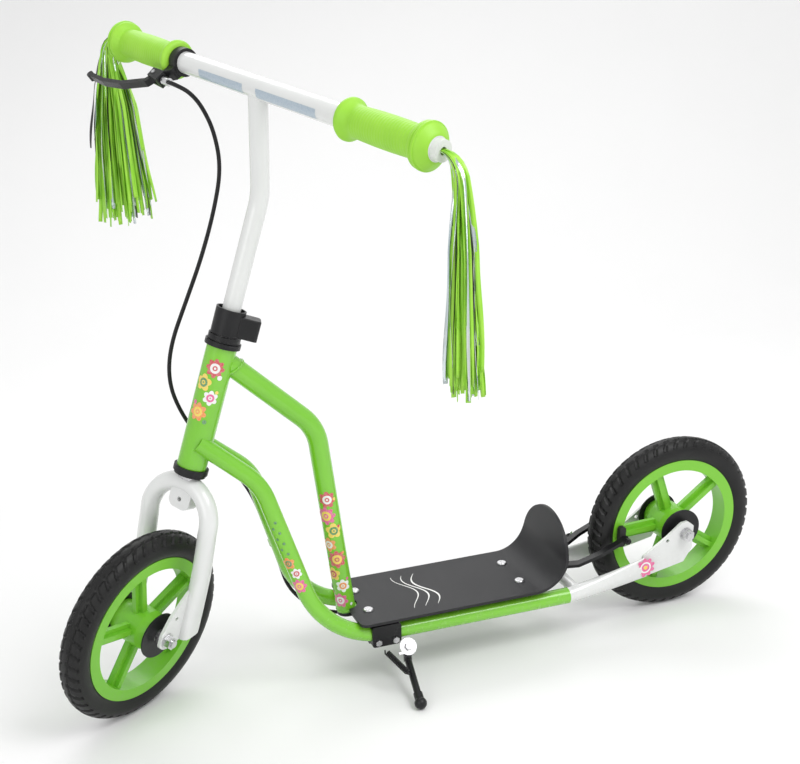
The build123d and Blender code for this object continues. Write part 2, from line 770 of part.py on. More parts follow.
# ---- assembly ----
def build_frame():
    keep("head_tube", head_tube())
    keep("headset_cups", headset_cups() + headset_bearings())
    keep("top_tube", top_tube())
    for side, word in ((1, "left"), (-1, "right")):
        keep("rail_" + word, rail(side))
        keep("rear_stay_" + word, stay(side) + dropout(side))
    keep("rear_bridge", rear_bridge())
    keep("deck_crossbars", [front_crossbar(), crossbar(crossbar_x[1])])
    keep("deck", deck())
    keep("deck_bolts", deck_bolts() + deck_nuts())
    keep("cable_guides", cable_guides())
    keep("brake_cable_lower", cable("brake_cable_lower", cable_steer_run, len(cable_route) - 2))
    add_axle("rear", rear_axle)
    add_wheel("rear", rear_axle)


def build_brake():
    keep("calliper_bolt", [calliper_bolt(), calliper_spacer()])
    for side, word in ((1, "left"), (-1, "right")):
        keep("calliper_arm_" + word, [calliper_arm(side), pad_bolt(side)])
        keep("brake_pad_" + word, brake_pad(side))
    keep("brake_wire", [wire_path(0.9), wire_clamp_bolt()])


def build_kickstand():
    keep("kickstand_bracket", kickstand_bracket())
    keep("kickstand_bolts", bracket_bolts() + [kickstand_pivot_bolt()])
    keep("kickstand_leg", kickstand_leg())
    keep("kickstand_disc", kickstand_disc())
    keep("kickstand_foot", kickstand_foot())
    keep("kickstand_spring", kickstand_spring())


def build_fork():
    keep("steerer", steerer(), fork_place)
    keep("fork_arch", fork_arch(), fork_place)
    keep("crown_gusset", crown_gusset(), fork_place)
    keep("fork_end_left", blade_end(1), fork_place)
    keep("fork_end_right", blade_end(-1), fork_place)
    keep("headset_rings", [crown_race(), lock_ring()], fork_place)
    keep("stem_clamp", [stem_clamp(), clamp_bolt()], fork_place)
    keep("clamp_cover", clamp_cover(), fork_place)
    keep("brake_cable_loop", cable("brake_cable_loop", cable_slide_run, cable_steer_run))
    add_axle("front", fork_place * front_axle)
    add_wheel("front", fork_place * front_axle)


def build_handlebar():
    keep("stem", stem(), bar_place)
    keep("handlebar", t_bar(), bar_place)
    keep("grip_left", grip(), bar_place)
    keep("grip_right", mirror_y(grip()), bar_place)
    keep("end_plugs", [end_plug(), mirror_y(end_plug())], bar_place)
    keep("lever_bracket", lever_bracket(), bar_place)
    keep("lever_screws", [lever_pin(), bracket_screw()], bar_place)
    keep("cable_adjuster", adjuster(), bar_place)
    keep("brake_lever", lever_blade(), bar_place)
    keep("brake_cable_upper", cable("brake_cable_upper", 0, cable_slide_run))
    nodes["tassel_left"] = tassel(1, 236.0, 17.0, 8.0).solids()
    nodes["tassel_right"] = tassel(-1, 205.0, 36.0, 9.0).solids()


def write_all():
    boxes = [solid.bounding_box() for solids in nodes.values() for solid in solids]
    low = Vector(*[min(corner) for corner in zip(*[tuple(box.min) for box in boxes])])
    high = Vector(*[max(corner) for corner in zip(*[tuple(box.max) for box in boxes])])
    shift = Pos(-(low.X + high.X) / 2, -(low.Y + high.Y) / 2, -low.Z)
    print("shift to the row frame:", shift.position)
    print("size:", high - low)
    os.makedirs("parts", exist_ok=True)
    for name, solids in nodes.items():
        moved = [shift * solid for solid in solids]
        shape = moved[0] if len(moved) == 1 else Compound(children=moved)
        export_step(shape, "parts/" + name + ".step")


build_frame()
build_brake()
build_kickstand()
build_fork()
build_handlebar()
write_all()
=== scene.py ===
import bmesh
import bpy
import json
import random
from math import atan2, cos, pi, radians, sin
from mathutils import Matrix, Vector


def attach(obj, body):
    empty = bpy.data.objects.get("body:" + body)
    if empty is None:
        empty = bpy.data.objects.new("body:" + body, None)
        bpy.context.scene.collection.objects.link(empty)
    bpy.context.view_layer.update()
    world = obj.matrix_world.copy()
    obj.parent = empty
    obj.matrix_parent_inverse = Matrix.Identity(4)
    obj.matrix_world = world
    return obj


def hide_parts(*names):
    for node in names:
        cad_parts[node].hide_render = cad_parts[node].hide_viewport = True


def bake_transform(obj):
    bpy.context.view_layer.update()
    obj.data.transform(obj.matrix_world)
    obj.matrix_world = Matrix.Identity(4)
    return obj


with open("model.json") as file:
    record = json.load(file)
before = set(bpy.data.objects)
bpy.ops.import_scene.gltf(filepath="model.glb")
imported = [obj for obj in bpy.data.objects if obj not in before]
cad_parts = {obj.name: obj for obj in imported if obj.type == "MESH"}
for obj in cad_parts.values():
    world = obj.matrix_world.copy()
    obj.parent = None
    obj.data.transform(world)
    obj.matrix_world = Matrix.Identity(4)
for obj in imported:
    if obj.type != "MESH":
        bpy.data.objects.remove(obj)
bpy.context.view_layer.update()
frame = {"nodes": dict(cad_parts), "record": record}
nodes = frame["nodes"]
joints = {joint["name"]: joint for joint in frame["record"]["behaviour"]["joints"]}

# The design frame stands upright and steers straight; these place it on the kickstand.
lean = radians(-2.75)
pitch = radians(0.05)
headAngle = radians(71.85)
steeringHeight = Vector((0.679, 0, 0.322))
steerTurn = radians(36)
barTurn = radians(20.7)
barCentre = Vector((0.0398, 0, 0.4433))
barRadius = 0.0124

turned = Matrix.Rotation(lean, 4, "X") @ Matrix.Rotation(pitch, 4, "Y")
steeringSpot = Vector(joints["steering"]["pos_m"])
toRow = Matrix.Translation(steeringSpot - turned @ steeringHeight) @ turned
headAxes = Matrix((
    (sin(headAngle), 0, -cos(headAngle), steeringHeight.x),
    (0, 1, 0, steeringHeight.y),
    (cos(headAngle), 0, sin(headAngle), steeringHeight.z),
    (0, 0, 0, 1),
))
headToRow = toRow @ headAxes
forkToRow = headToRow @ Matrix.Rotation(steerTurn, 4, "Z")
barToRow = headToRow @ Matrix.Rotation(barTurn, 4, "Z")
gripToRow = barToRow @ Matrix.Translation(barCentre)
print("frame loaded")


# Sums and products of these add Math nodes.
class Value:
    def __init__(self, make, socket):
        self.make = make
        self.socket = socket

    def combine(self, operation, first, second):
        return self.make("Math", {"operation": operation}, {0: first, 1: second})

    def __add__(self, other):
        return self.combine("ADD", self, other)

    def __radd__(self, other):
        return self.combine("ADD", other, self)

    def __mul__(self, other):
        return self.combine("MULTIPLY", self, other)

    def __rmul__(self, other):
        return self.combine("MULTIPLY", other, self)


class Finish:
    def __init__(self, name):
        self.material = bpy.data.materials.new(name)
        self.material.use_nodes = True
        self.tree = self.material.node_tree
        self.surface = self.tree.nodes["Principled BSDF"]

    def make(self, kind, settings, values, output=0):
        node = self.tree.nodes.new("ShaderNode" + kind)
        for key, setting in settings.items():
            setattr(node, key, setting)
        for key, value in values.items():
            self.put(node.inputs[key], value)
        return Value(self.make, node.outputs[output])

    def put(self, socket, value):
        if isinstance(value, Value):
            self.tree.links.new(value.socket, socket)
        else:
            socket.default_value = value

    def coords(self):
        return self.make("TexCoord", {}, {}, "Object")

    def noise(self, scale, detail, stretch=(1, 1, 1)):
        place = self.make("Mapping", {}, {"Vector": self.coords(), "Scale": stretch})
        return self.make("TexNoise", {}, {"Vector": place, "Scale": scale, "Detail": detail}, "Fac")

    def spread(self, value, low, high, outLow, outHigh):
        ends = {"Value": value, "From Min": low, "From Max": high, "To Min": outLow, "To Max": outHigh}
        return self.make("MapRange", {"clamp": True}, ends)

    def blend(self, factor, first, second):
        colours = {0: factor, 6: first, 7: second}     # the colour sockets of a Mix node
        return self.make("Mix", {"data_type": "RGBA"}, colours, 2)

    def bump(self, height, strength, distance):
        return self.make("Bump", {}, {"Height": height, "Strength": strength, "Distance": distance})

    def set(self, **inputs):
        for key, value in inputs.items():
            self.put(self.surface.inputs[key.replace("_", " ")], value)
        return self.material


def colour(red, green, blue):
    return (red, green, blue, 1.0)


def paintFinish(name, base, shade, settings):
    finish = Finish(name)
    cloud = finish.noise(7.0, 2.0)
    dust = finish.noise(160.0, 2.0)
    tint = finish.blend(finish.spread(cloud, 0.3, 0.75, 0.0, 1.0), base, shade)
    height = finish.make("SeparateXYZ", {}, {"Vector": finish.coords()}, 2)
    low = finish.spread(height, settings["dirty"], settings["clean"], settings["grime"], 0.0)
    grime = low * finish.spread(dust, 0.4, 0.7, 0.0, 1.0)
    tint = finish.blend(grime, tint, colour(0.33, 0.30, 0.26))
    peel = finish.noise(520.0, 2.0)
    rough = settings["roughness"] + finish.spread(dust, 0.3, 0.7, -0.02, 0.04) + grime * 0.4
    return finish.set(
        Base_Color=tint, Roughness=rough, Coat_Weight=settings["coat"], Coat_Roughness=0.12,
        Normal=finish.bump(peel, settings["peel"], 0.0004),
    )


def rubberFinish(name, base, shade, grain, roughness, gloss=0.5):
    finish = Finish(name)
    patch = finish.noise(22.0, 4.0)
    speck = finish.noise(grain, 3.0)
    tint = finish.blend(finish.spread(patch, 0.35, 0.68, 0.0, 1.0), base, shade)
    rough = roughness + finish.spread(patch, 0.3, 0.7, -0.06, 0.06)
    return finish.set(
        Base_Color=tint, Roughness=rough, Specular_IOR_Level=gloss, Normal=finish.bump(speck, 0.35, 0.0005),
    )


def metalFinish(name, base, shade, roughness):
    finish = Finish(name)
    brush = finish.noise(240.0, 4.0)
    stain = finish.noise(30.0, 3.0)
    tint = finish.blend(finish.spread(stain, 0.4, 0.7, 0.0, 0.7), base, shade)
    rough = roughness + finish.spread(brush, 0.3, 0.7, -0.08, 0.1)
    return finish.set(
        Base_Color=tint, Metallic=1.0, Roughness=rough, Normal=finish.bump(brush, 0.18, 0.0003),
    )


def foilFinish(name, base, shade, metallic, roughness):
    finish = Finish(name)
    crease = finish.noise(130.0, 3.0, (1, 1, 0.15))
    tint = finish.blend(finish.spread(crease, 0.35, 0.65, 0.0, 1.0), base, shade)
    return finish.set(
        Base_Color=tint, Metallic=metallic, Roughness=roughness,
        Normal=finish.bump(crease, 0.5, 0.001),
    )


# Grime fades out between the dirty and the clean height.
paintSettings = {"roughness": 0.22, "coat": 0.6, "peel": 0.035, "grime": 0.16, "dirty": 0.02, "clean": 0.13}
mouldSettings = {"roughness": 0.36, "coat": 0.15, "peel": 0.08, "grime": 0.12, "dirty": 0.02, "clean": 0.13}


def grey(level):
    return colour(level, level, level)


greenPaint = paintFinish(
    "greenPaint", colour(0.20, 0.56, 0.028), colour(0.165, 0.50, 0.02), paintSettings)
greenMoulded = paintFinish(
    "greenMoulded", colour(0.19, 0.54, 0.03), colour(0.16, 0.49, 0.022), mouldSettings)
whitePaint = paintFinish(
    "whitePaint", colour(0.74, 0.75, 0.74), colour(0.68, 0.69, 0.68), paintSettings)
whiteMoulded = paintFinish(
    "whiteMoulded", colour(0.74, 0.75, 0.74), colour(0.67, 0.68, 0.67), mouldSettings)
tyreRubber = rubberFinish("tyreRubber", grey(0.006), grey(0.011), 900.0, 0.42, 0.32)
greenGrip = rubberFinish(
    "greenGrip", colour(0.33, 0.68, 0.045), colour(0.28, 0.62, 0.035), 1400.0, 0.46)
padRubber = rubberFinish("padRubber", grey(0.012), colour(0.03, 0.028, 0.026), 1200.0, 0.7)
blackPlastic = rubberFinish(
    "blackPlastic", colour(0.010, 0.010, 0.011), colour(0.014, 0.014, 0.015), 700.0, 0.36, 0.3)
blackMetal = rubberFinish(
    "blackMetal", colour(0.009, 0.009, 0.010), colour(0.012, 0.012, 0.013), 1500.0, 0.30, 0.32)
cableSheath = rubberFinish(
    "cableSheath", colour(0.008, 0.008, 0.009), colour(0.010, 0.010, 0.011), 1800.0, 0.34, 0.28)
zinc = metalFinish("zinc", colour(0.62, 0.62, 0.63), colour(0.46, 0.46, 0.47), 0.30)
alloy = metalFinish("alloy", colour(0.74, 0.74, 0.75), colour(0.62, 0.62, 0.63), 0.26)
greenFoil = foilFinish("greenFoil", colour(0.42, 0.78, 0.08), colour(0.28, 0.66, 0.035), 0.0, 0.32)
silverFoil = foilFinish("silverFoil", colour(0.80, 0.84, 0.84), colour(0.55, 0.66, 0.68), 1.0, 0.16)
blackFoil = foilFinish("blackFoil", colour(0.012, 0.012, 0.013), grey(0.03), 0.0, 0.3)


def printFinish(name, base):
    finish = Finish(name)
    grain = finish.noise(600.0, 2.0)
    tint = finish.blend(finish.spread(grain, 0.3, 0.7, 0.0, 0.25), base, grey(0.8))
    return finish.set(Base_Color=tint, Roughness=0.3 + grain * 0.08, Coat_Weight=0.4)


inks = {
    "white": printFinish("whiteInk", colour(0.82, 0.82, 0.8)),
    "red": printFinish("redInk", colour(0.56, 0.02, 0.03)),
    "pink": printFinish("pinkInk", colour(0.72, 0.06, 0.26)),
    "yellow": printFinish("yellowInk", colour(0.83, 0.60, 0.03)),
    "orange": printFinish("orangeInk", colour(0.80, 0.25, 0.02)),
    "leaf": printFinish("leafInk", colour(0.03, 0.22, 0.03)),
    "greyBlue": printFinish("greyBlueInk", colour(0.33, 0.42, 0.50)),
}


def deckFinish():
    finish = Finish("deckPlastic")
    patch = finish.noise(14.0, 4.0)
    grain = finish.noise(1100.0, 3.0)
    scuff = finish.noise(60.0, 5.0, (1, 0.2, 1))
    mottle = finish.spread(patch, 0.35, 0.7, 0.0, 1.0)
    tint = finish.blend(mottle, colour(0.016, 0.016, 0.018), colour(0.026, 0.026, 0.028))
    tint = finish.blend(finish.spread(scuff, 0.62, 0.8, 0.0, 0.2), tint, grey(0.06))
    rough = 0.46 + finish.spread(patch, 0.3, 0.7, -0.05, 0.06)
    return finish.set(
        Base_Color=tint, Roughness=rough, Specular_IOR_Level=0.32, Normal=finish.bump(grain, 0.4, 0.0005),
    )


deckPlastic = deckFinish()


def paintNode(name, material):
    mesh = nodes[name].data
    mesh.materials.clear()
    mesh.materials.append(material)


nodeFinishes = {
    greenPaint: ["head_tube", "top_tube", "rail_left", "rail_right", "cable_guides"],
    greenMoulded: ["front_rim", "rear_rim"],
    whitePaint: ["rear_stay_left", "rear_stay_right", "rear_bridge", "fork_arch", "crown_gusset",
                 "fork_end_left", "fork_end_right", "stem", "handlebar"],
    whiteMoulded: ["end_plugs"],
    blackPlastic: ["clamp_cover", "front_hub_caps", "rear_hub_caps", "kickstand_foot", "headset_cups",
                   "lever_bracket"],
    blackMetal: ["brake_lever", "calliper_arm_left", "calliper_arm_right", "deck_crossbars",
                 "kickstand_bracket", "kickstand_leg", "headset_rings"],
    padRubber: ["brake_pad_left", "brake_pad_right"],
    cableSheath: ["brake_cable_lower"],
    alloy: ["cable_adjuster", "kickstand_disc"],
    deckPlastic: ["deck"],
    zinc: ["deck_bolts", "front_axle", "rear_axle", "front_axle_nuts", "rear_axle_nuts", "front_bearings",
           "rear_bearings", "steerer", "stem_clamp", "lever_screws", "calliper_bolt", "brake_wire",
           "kickstand_bolts"],
}
for material, names in nodeFinishes.items():
    for name in names:
        paintNode(name, material)
print("materials made")


# Turns a finished bmesh into a piece whose place is in its mesh.
def newPiece(name, mesh, place, materials):
    bmesh.ops.remove_doubles(mesh, verts=mesh.verts, dist=1e-6)
    bmesh.ops.recalc_face_normals(mesh, faces=mesh.faces)
    bmesh.ops.transform(mesh, matrix=place, verts=mesh.verts)
    data = bpy.data.meshes.new(name)
    for face in mesh.faces:
        face.smooth = True
    mesh.to_mesh(data)
    mesh.free()
    for material in materials:
        data.materials.append(material)
    piece = bpy.data.objects.new(name, data)
    bpy.context.scene.collection.objects.link(piece)
    return piece


def sharpen(piece, angle):
    piece.data.set_sharp_from_angle(angle=radians(angle))
    return piece


# Points are (along the axis, radius), round a closed outline.
def spinProfile(points, steps):
    mesh = bmesh.new()
    verts = [mesh.verts.new((radius, across, 0)) for across, radius in points]
    edges = [mesh.edges.new(pair) for pair in zip(verts, verts[1:] + verts[:1])]
    bmesh.ops.spin(mesh, geom=verts + edges, cent=(0, 0, 0), axis=(0, 1, 0), angle=2 * pi, steps=steps,
                   use_merge=True)
    return mesh


def joinRings(mesh, rings, material=0):
    for first, second in zip(rings, rings[1:]):
        for step in range(len(first)):
            turn = (step + 1) % len(first)
            face = mesh.faces.new((first[step], first[turn], second[turn], second[step]))
            face.material_index = material
    ends = [mesh.faces.new(list(reversed(rings[0]))), mesh.faces.new(rings[-1])]
    for end in ends:
        end.material_index = material
    return ends


def heading(path, index):
    return (path[min(index + 1, len(path) - 1)] - path[max(index - 1, 0)]).normalized()


# The ring's turn is carried along the path, so a tube doesn't twist.
def sweepTube(mesh, path, radii, sides):
    ahead = heading(path, 0)
    side = ahead.cross(Vector((0, 0, 1) if abs(ahead.z) < 0.9 else (1, 0, 0))).normalized()
    rings = []
    for index, point in enumerate(path):
        ahead = heading(path, index)
        side = (side - ahead * side.dot(ahead)).normalized()
        other = ahead.cross(side)
        angles = [2 * pi * step / sides for step in range(sides)]
        rings.append([mesh.verts.new(point + (side * cos(angle) + other * sin(angle)) * radii[index])
                      for angle in angles])
    joinRings(mesh, rings)


# Tyres: a spun section with the tread pressed in. Positions run from the crown (0) to the side (1).
tyreSettings = {
    "section": 0.018, "ring": 0.1095, "seatAngle": 130, "sectionSteps": 44, "steps": 528, "blocks": 48,
    "groove": 0.0021, "grooveShare": 0.34, "slant": 0.9, "from": 0.12, "to": 0.9, "rib": 0.0013,
    "ribs": (0.30, 0.62), "ribHalf": 0.035, "treadFrom": 0.004,
}


def treadDepth(angle, across):
    position = abs(across) / tyreSettings["section"]
    wave = (angle * tyreSettings["blocks"] / (2 * pi) + position * tyreSettings["slant"]) % 1.0
    nearRib = min(abs(position - rib) for rib in tyreSettings["ribs"])
    cut = 0.0
    if wave < tyreSettings["grooveShare"] and tyreSettings["from"] < position < tyreSettings["to"]:
        cut = tyreSettings["groove"]
    if nearRib < tyreSettings["ribHalf"]:
        cut = max(cut, tyreSettings["rib"])
    return cut


def makeTyre(name, body, joint):
    section = tyreSettings["section"]
    ring = tyreSettings["ring"]
    start = radians(-tyreSettings["seatAngle"])
    points = []
    for step in range(tyreSettings["sectionSteps"] + 1):
        angle = start + (2 * -start) * step / tyreSettings["sectionSteps"]
        points.append((section * sin(angle), ring + section * cos(angle)))
    mesh = spinProfile(points, tyreSettings["steps"])
    for vert in mesh.verts:
        away = Vector((vert.co.x, 0, vert.co.z))
        if away.length < ring - tyreSettings["treadFrom"]:
            continue
        depth = treadDepth(atan2(vert.co.z, vert.co.x), vert.co.y)
        middle = away.normalized() * ring
        outward = (vert.co - middle).normalized()
        vert.co -= outward * depth
    axle = Vector((0, 1, 0)).rotation_difference(Vector(joints[joint]["axis"]))
    place = Matrix.Translation(Vector(joints[joint]["pos_m"])) @ axle.to_matrix().to_4x4()
    tyre = sharpen(newPiece(name, mesh, place, [tyreRubber]), 40)
    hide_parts(body + "_tyre")
    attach(tyre, body + "_wheel")


makeTyre("frontTyreTread", "front", "front_wheel_spin")
makeTyre("rearTyreTread", "rear", "rear_wheel_spin")
print("tyres made")


# Grips: inner flange, finely ribbed handle and stepped bell. Radii are from the bar's axis.
gripSettings = {
    "start": 0.156, "steps": 72, "ribs": 22, "ribFrom": 0.020, "ribPitch": 0.0041, "ribHeight": 0.00022,
    "handle": 0.0163, "swell": 0.0009,
    "flange": (
        (0, 0.0185), (0.0015, 0.0208), (0.004, 0.0220), (0.0065, 0.0219), (0.009, 0.0206),
        (0.012, 0.0180), (0.016, 0.0167),
    ),
    "bell": (
        (0.1115, 0.0180), (0.114, 0.0222), (0.1165, 0.0236), (0.119, 0.0236), (0.1195, 0.0229),
        (0.1205, 0.0229), (0.121, 0.0243), (0.1235, 0.0243), (0.124, 0.0228), (0.125, 0.0226),
        (0.1256, 0.0222), (0.129, 0.0192), (0.132, 0.0156), (0.134, 0.0134), (0.134, barRadius),
    ),
}


def gripPoints():
    start = gripSettings["start"]
    height = gripSettings["ribHeight"]
    points = [(start, barRadius)]
    points += [(start + step, radius) for step, radius in gripSettings["flange"]]
    for rib in range(gripSettings["ribs"]):
        base = start + gripSettings["ribFrom"] + rib * gripSettings["ribPitch"]
        handle = gripSettings["handle"] + gripSettings["swell"] * sin(pi * rib / (gripSettings["ribs"] - 1))
        points += [(base, handle), (base + 0.0006, handle + height), (base + 0.0024, handle + height),
                   (base + 0.003, handle)]
    points += [(start + step, radius) for step, radius in gripSettings["bell"]]
    return points


def makeGrip(name, node, side):
    points = [(across * side, radius) for across, radius in gripPoints()]
    mesh = spinProfile(points, gripSettings["steps"])
    grip = sharpen(newPiece(name, mesh, gripToRow, [greenGrip]), 50)
    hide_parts(node)
    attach(grip, "handlebar")


makeGrip("gripLeftRibbed", "grip_left", 1)
makeGrip("gripRightRibbed", "grip_right", -1)
print("grips made")


# Fork: one arch with two straight legs, in the head's frame, and the plates that hold the axle.
forkSettings = {
    "archRadius": 0.047, "archCentre": -0.069, "archSteps": 40, "sides": 40, "archWide": 0.012,
    "archThick": 0.0115, "slantBelow": -0.2, "slant": 0.35, "endRound": 0.0016, "plateInner": 0.041,
    "plateThick": 0.004, "plateRound": 0.0035, "axle": (0.022, -0.2119), "axleHole": 0.0049,
    "eyelet": (0.013, -0.184), "eyeletHole": 0.0026,
}
bladeRows = (
    # height, forward, out, half width fore and aft, half thickness, squareness
    (-0.080, -0.0022, 0.0470, 0.0122, 0.0115, 2.0), (-0.100, -0.0055, 0.0470, 0.0124, 0.0113, 2.1),
    (-0.128, -0.0100, 0.0470, 0.0127, 0.0108, 2.2), (-0.150, -0.0118, 0.0470, 0.0130, 0.0100, 2.4),
    (-0.172, -0.0130, 0.0472, 0.0134, 0.0090, 2.7), (-0.194, -0.0138, 0.0474, 0.0137, 0.0082, 3.0),
    (-0.210, -0.0142, 0.0475, 0.0138, 0.0078, 3.2),
)
plateOutline = (
    (-0.022, -0.148), (0.000, -0.148), (0.011, -0.162), (0.024, -0.180), (0.034, -0.204),
    (0.034, -0.2195), (0.026, -0.2245), (0.010, -0.2235), (0.001, -0.216), (-0.022, -0.209),
)


def squaredWave(value, squareness):
    return abs(value) ** (2 / squareness) * (1 if value >= 0 else -1)


def ovalRing(mesh, centre, across, deep, squareness):
    ring = []
    for step in range(forkSettings["sides"]):
        angle = 2 * pi * step / forkSettings["sides"]
        u = squaredWave(cos(angle), squareness)
        v = squaredWave(sin(angle), squareness)
        ring.append(mesh.verts.new(centre + across * u + deep * v))
    return ring


def bladeRing(mesh, row, side):
    height, forward, out, wide, thick, squareness = row
    slant = forkSettings["slant"] if height < forkSettings["slantBelow"] else 0.0
    centre = Vector((forward, out * side, height))
    return ovalRing(mesh, centre, Vector((wide, 0, -wide * slant)), Vector((0, thick * side, 0)), squareness)


def makeForkBlades():
    mesh = bmesh.new()
    rings = [bladeRing(mesh, row, 1) for row in reversed(bladeRows)]
    for step in range(forkSettings["archSteps"] + 1):
        turn = pi * step / forkSettings["archSteps"]
        outward = Vector((0, cos(turn), sin(turn)))
        centre = outward * forkSettings["archRadius"] + Vector((0, 0, forkSettings["archCentre"]))
        across = Vector((forkSettings["archWide"], 0, 0))
        rings.append(ovalRing(mesh, centre, across, outward * forkSettings["archThick"], 2.0))
    rings += [bladeRing(mesh, row, -1) for row in bladeRows]
    rims = [edge for end in joinRings(mesh, rings) for edge in end.edges]
    bmesh.ops.bevel(mesh, geom=rims, offset=forkSettings["endRound"], offset_type="OFFSET", affect="EDGES",
                    segments=3, profile=0.5, material=-1)
    blades = sharpen(newPiece("forkBlades", mesh, forkToRow, [whitePaint]), 50)
    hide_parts("fork_arch")
    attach(blades, "fork")


def addHole(mesh, centre, radius, level, steps):
    place = Matrix.Translation((centre[0], level, centre[1])) @ Matrix.Rotation(pi / 2, 4, "X")
    bmesh.ops.create_circle(mesh, segments=steps, radius=radius, matrix=place)


def makeForkPlate(word, side):
    mesh = bmesh.new()
    level = forkSettings["plateInner"] * side
    corners = [mesh.verts.new((x, level, z)) for x, z in plateOutline]
    for pair in zip(corners, corners[1:] + corners[:1]):
        mesh.edges.new(pair)
    bmesh.ops.bevel(mesh, geom=corners, offset=forkSettings["plateRound"], offset_type="OFFSET",
                    affect="VERTICES", segments=5, profile=0.5, material=-1)
    addHole(mesh, forkSettings["axle"], forkSettings["axleHole"], level, 32)
    addHole(mesh, forkSettings["eyelet"], forkSettings["eyeletHole"], level, 20)
    bmesh.ops.triangle_fill(mesh, edges=list(mesh.edges), use_beauty=True, use_dissolve=False)
    moved = bmesh.ops.extrude_face_region(mesh, geom=list(mesh.faces))["geom"]
    lifted = [item for item in moved if isinstance(item, bmesh.types.BMVert)]
    bmesh.ops.translate(mesh, verts=lifted, vec=(0, forkSettings["plateThick"] * side, 0))
    plate = sharpen(newPiece("forkPlate" + word.capitalize(), mesh, forkToRow, [whitePaint]), 30)
    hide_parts("fork_end_" + word)
    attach(plate, "fork")


makeForkBlades()
makeForkPlate("left", 1)
makeForkPlate("right", -1)
print("fork made")


# Brake cable, in millimetres of the design frame: adjuster, bow, round the head, under the deck.
cableRoute = [
    (646.9, -111.8, 750.7), (641.0, -95.5, 748.5), (629.5, -86.0, 741.5), (617.0, -84.5, 726.0),
    (605.0, -82.0, 697.0), (601.0, -77.0, 656.0), (615.0, -69.0, 608.0), (636.0, -61.0, 556.0),
    (658.0, -54.0, 512.0), (684.0, -46.0, 460.0), (691.0, -40.0, 418.0), (681.0, -35.0, 380.0),
    (658.0, -32.0, 338.0), (622.0, -34.0, 297.0), (597.0, -39.5, 255.0), (581.0, -46.0, 205.0),
    (564.0, -52.0, 150.0), (551.0, -54.0, 98.0), (512.0, -45.0, 63.0), (460.0, -34.0, 55.0),
    (400.0, -31.0, 52.0), (335.0, -32.0, 53.0), (278.0, -33.0, 57.0), (235.0, -33.0, 64.0),
    (203.0, -37.0, 85.0), (177.5, -41.7, 97.3),
]
# The line is cut at the middle of the slide run and at the middle of the steer run.
cableSettings = {"radius": 0.0025, "sides": 14, "slideRun": 6, "steerRun": 9, "steps": 12}


def cableLine():
    curve = bpy.data.curves.new("cableRoute", "CURVE")
    curve.dimensions = "3D"
    curve.resolution_u = cableSettings["steps"]
    spline = curve.splines.new("NURBS")
    spline.points.add(len(cableRoute) - 1)
    for point, spot in zip(spline.points, cableRoute):
        point.co = (*(toRow @ (Vector(spot) / 1000)), 1)
    spline.order_u = 3
    spline.use_endpoint_u = True
    holder = bpy.data.objects.new("cableRoute", curve)
    bpy.context.scene.collection.objects.link(holder)
    line = bpy.data.meshes.new_from_object(holder)
    points = [vert.co.copy() for vert in line.vertices]
    bpy.data.objects.remove(holder)
    return points


# The line's point nearest to the middle of one run of the route.
def runCut(points, run):
    target = toRow @ ((Vector(cableRoute[run]) + Vector(cableRoute[run + 1])) / 2000)
    return min(range(len(points)), key=lambda index: (points[index] - target).length)


def cablePiece(name, points):
    mesh = bmesh.new()
    sweepTube(mesh, points, [cableSettings["radius"]] * len(points), cableSettings["sides"])
    piece = newPiece(name, mesh, Matrix.Identity(4), [cableSheath])
    return piece


linePoints = cableLine()
slideCut = runCut(linePoints, cableSettings["slideRun"])
steerCut = runCut(linePoints, cableSettings["steerRun"])
cableUpper = cablePiece("brakeCableUpperBend", linePoints[:slideCut + 1])
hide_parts("brake_cable_upper")
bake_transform(cableUpper)
cableLoop = cablePiece("brakeCableLoopBend", linePoints[slideCut:steerCut + 1])
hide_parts("brake_cable_loop")
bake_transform(cableLoop)
cableRest = cablePiece("brakeCableRest", linePoints[steerCut:])
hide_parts("brake_cable_lower")
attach(cableRest, "frame")
print("cable made")


# Brake wire, in the calliper's frame: each half moves with its own arm and they meet in the middle.
wireSettings = {
    "calliper": (0.174, 0, 0.077), "tilt": 23, "stop": (-0.011, -0.042, 0.0191),
    "clamp": (-0.050, -0.044, 0.0138), "radius": 0.0009, "lead": 0.003, "overlap": 0.001, "tail": 0.014,
    "nutRadius": 0.0046, "nutHeight": 0.0045, "nutLevel": 0.01855,
}
calliperToRow = (
    toRow @ Matrix.Translation(wireSettings["calliper"])
    @ Matrix.Rotation(radians(wireSettings["tilt"]), 4, "Y")
)


def wirePiece(name, body, path):
    mesh = bmesh.new()
    sweepTube(mesh, path, [wireSettings["radius"]] * len(path), 10)
    wire = newPiece(name, mesh, Matrix.Identity(4), [zinc])
    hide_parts("brake_wire")
    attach(wire, body)


def makeBrakeWire():
    stop = calliperToRow @ Vector(wireSettings["stop"])
    clamp = calliperToRow @ Vector(wireSettings["clamp"])
    along = (clamp - stop).normalized()
    middle = (stop + clamp) / 2
    upper = [stop - along * wireSettings["lead"], middle + along * wireSettings["overlap"]]
    lower = [middle, clamp + along * wireSettings["tail"]]
    wirePiece("brakeWireAtStop", "right_brake_arm", upper)
    wirePiece("brakeWireAtClamp", "left_brake_arm", lower)
    mesh = bmesh.new()
    radius = wireSettings["nutRadius"]
    bmesh.ops.create_cone(mesh, cap_ends=True, segments=6, radius1=radius, radius2=radius,
                          depth=wireSettings["nutHeight"])
    x, y, level = wireSettings["clamp"]
    spot = calliperToRow @ Matrix.Translation((x, y, wireSettings["nutLevel"]))
    nut = sharpen(newPiece("wireClampNut", mesh, spot, [zinc]), 30)
    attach(nut, "left_brake_arm")


makeBrakeWire()
print("brake wire made")


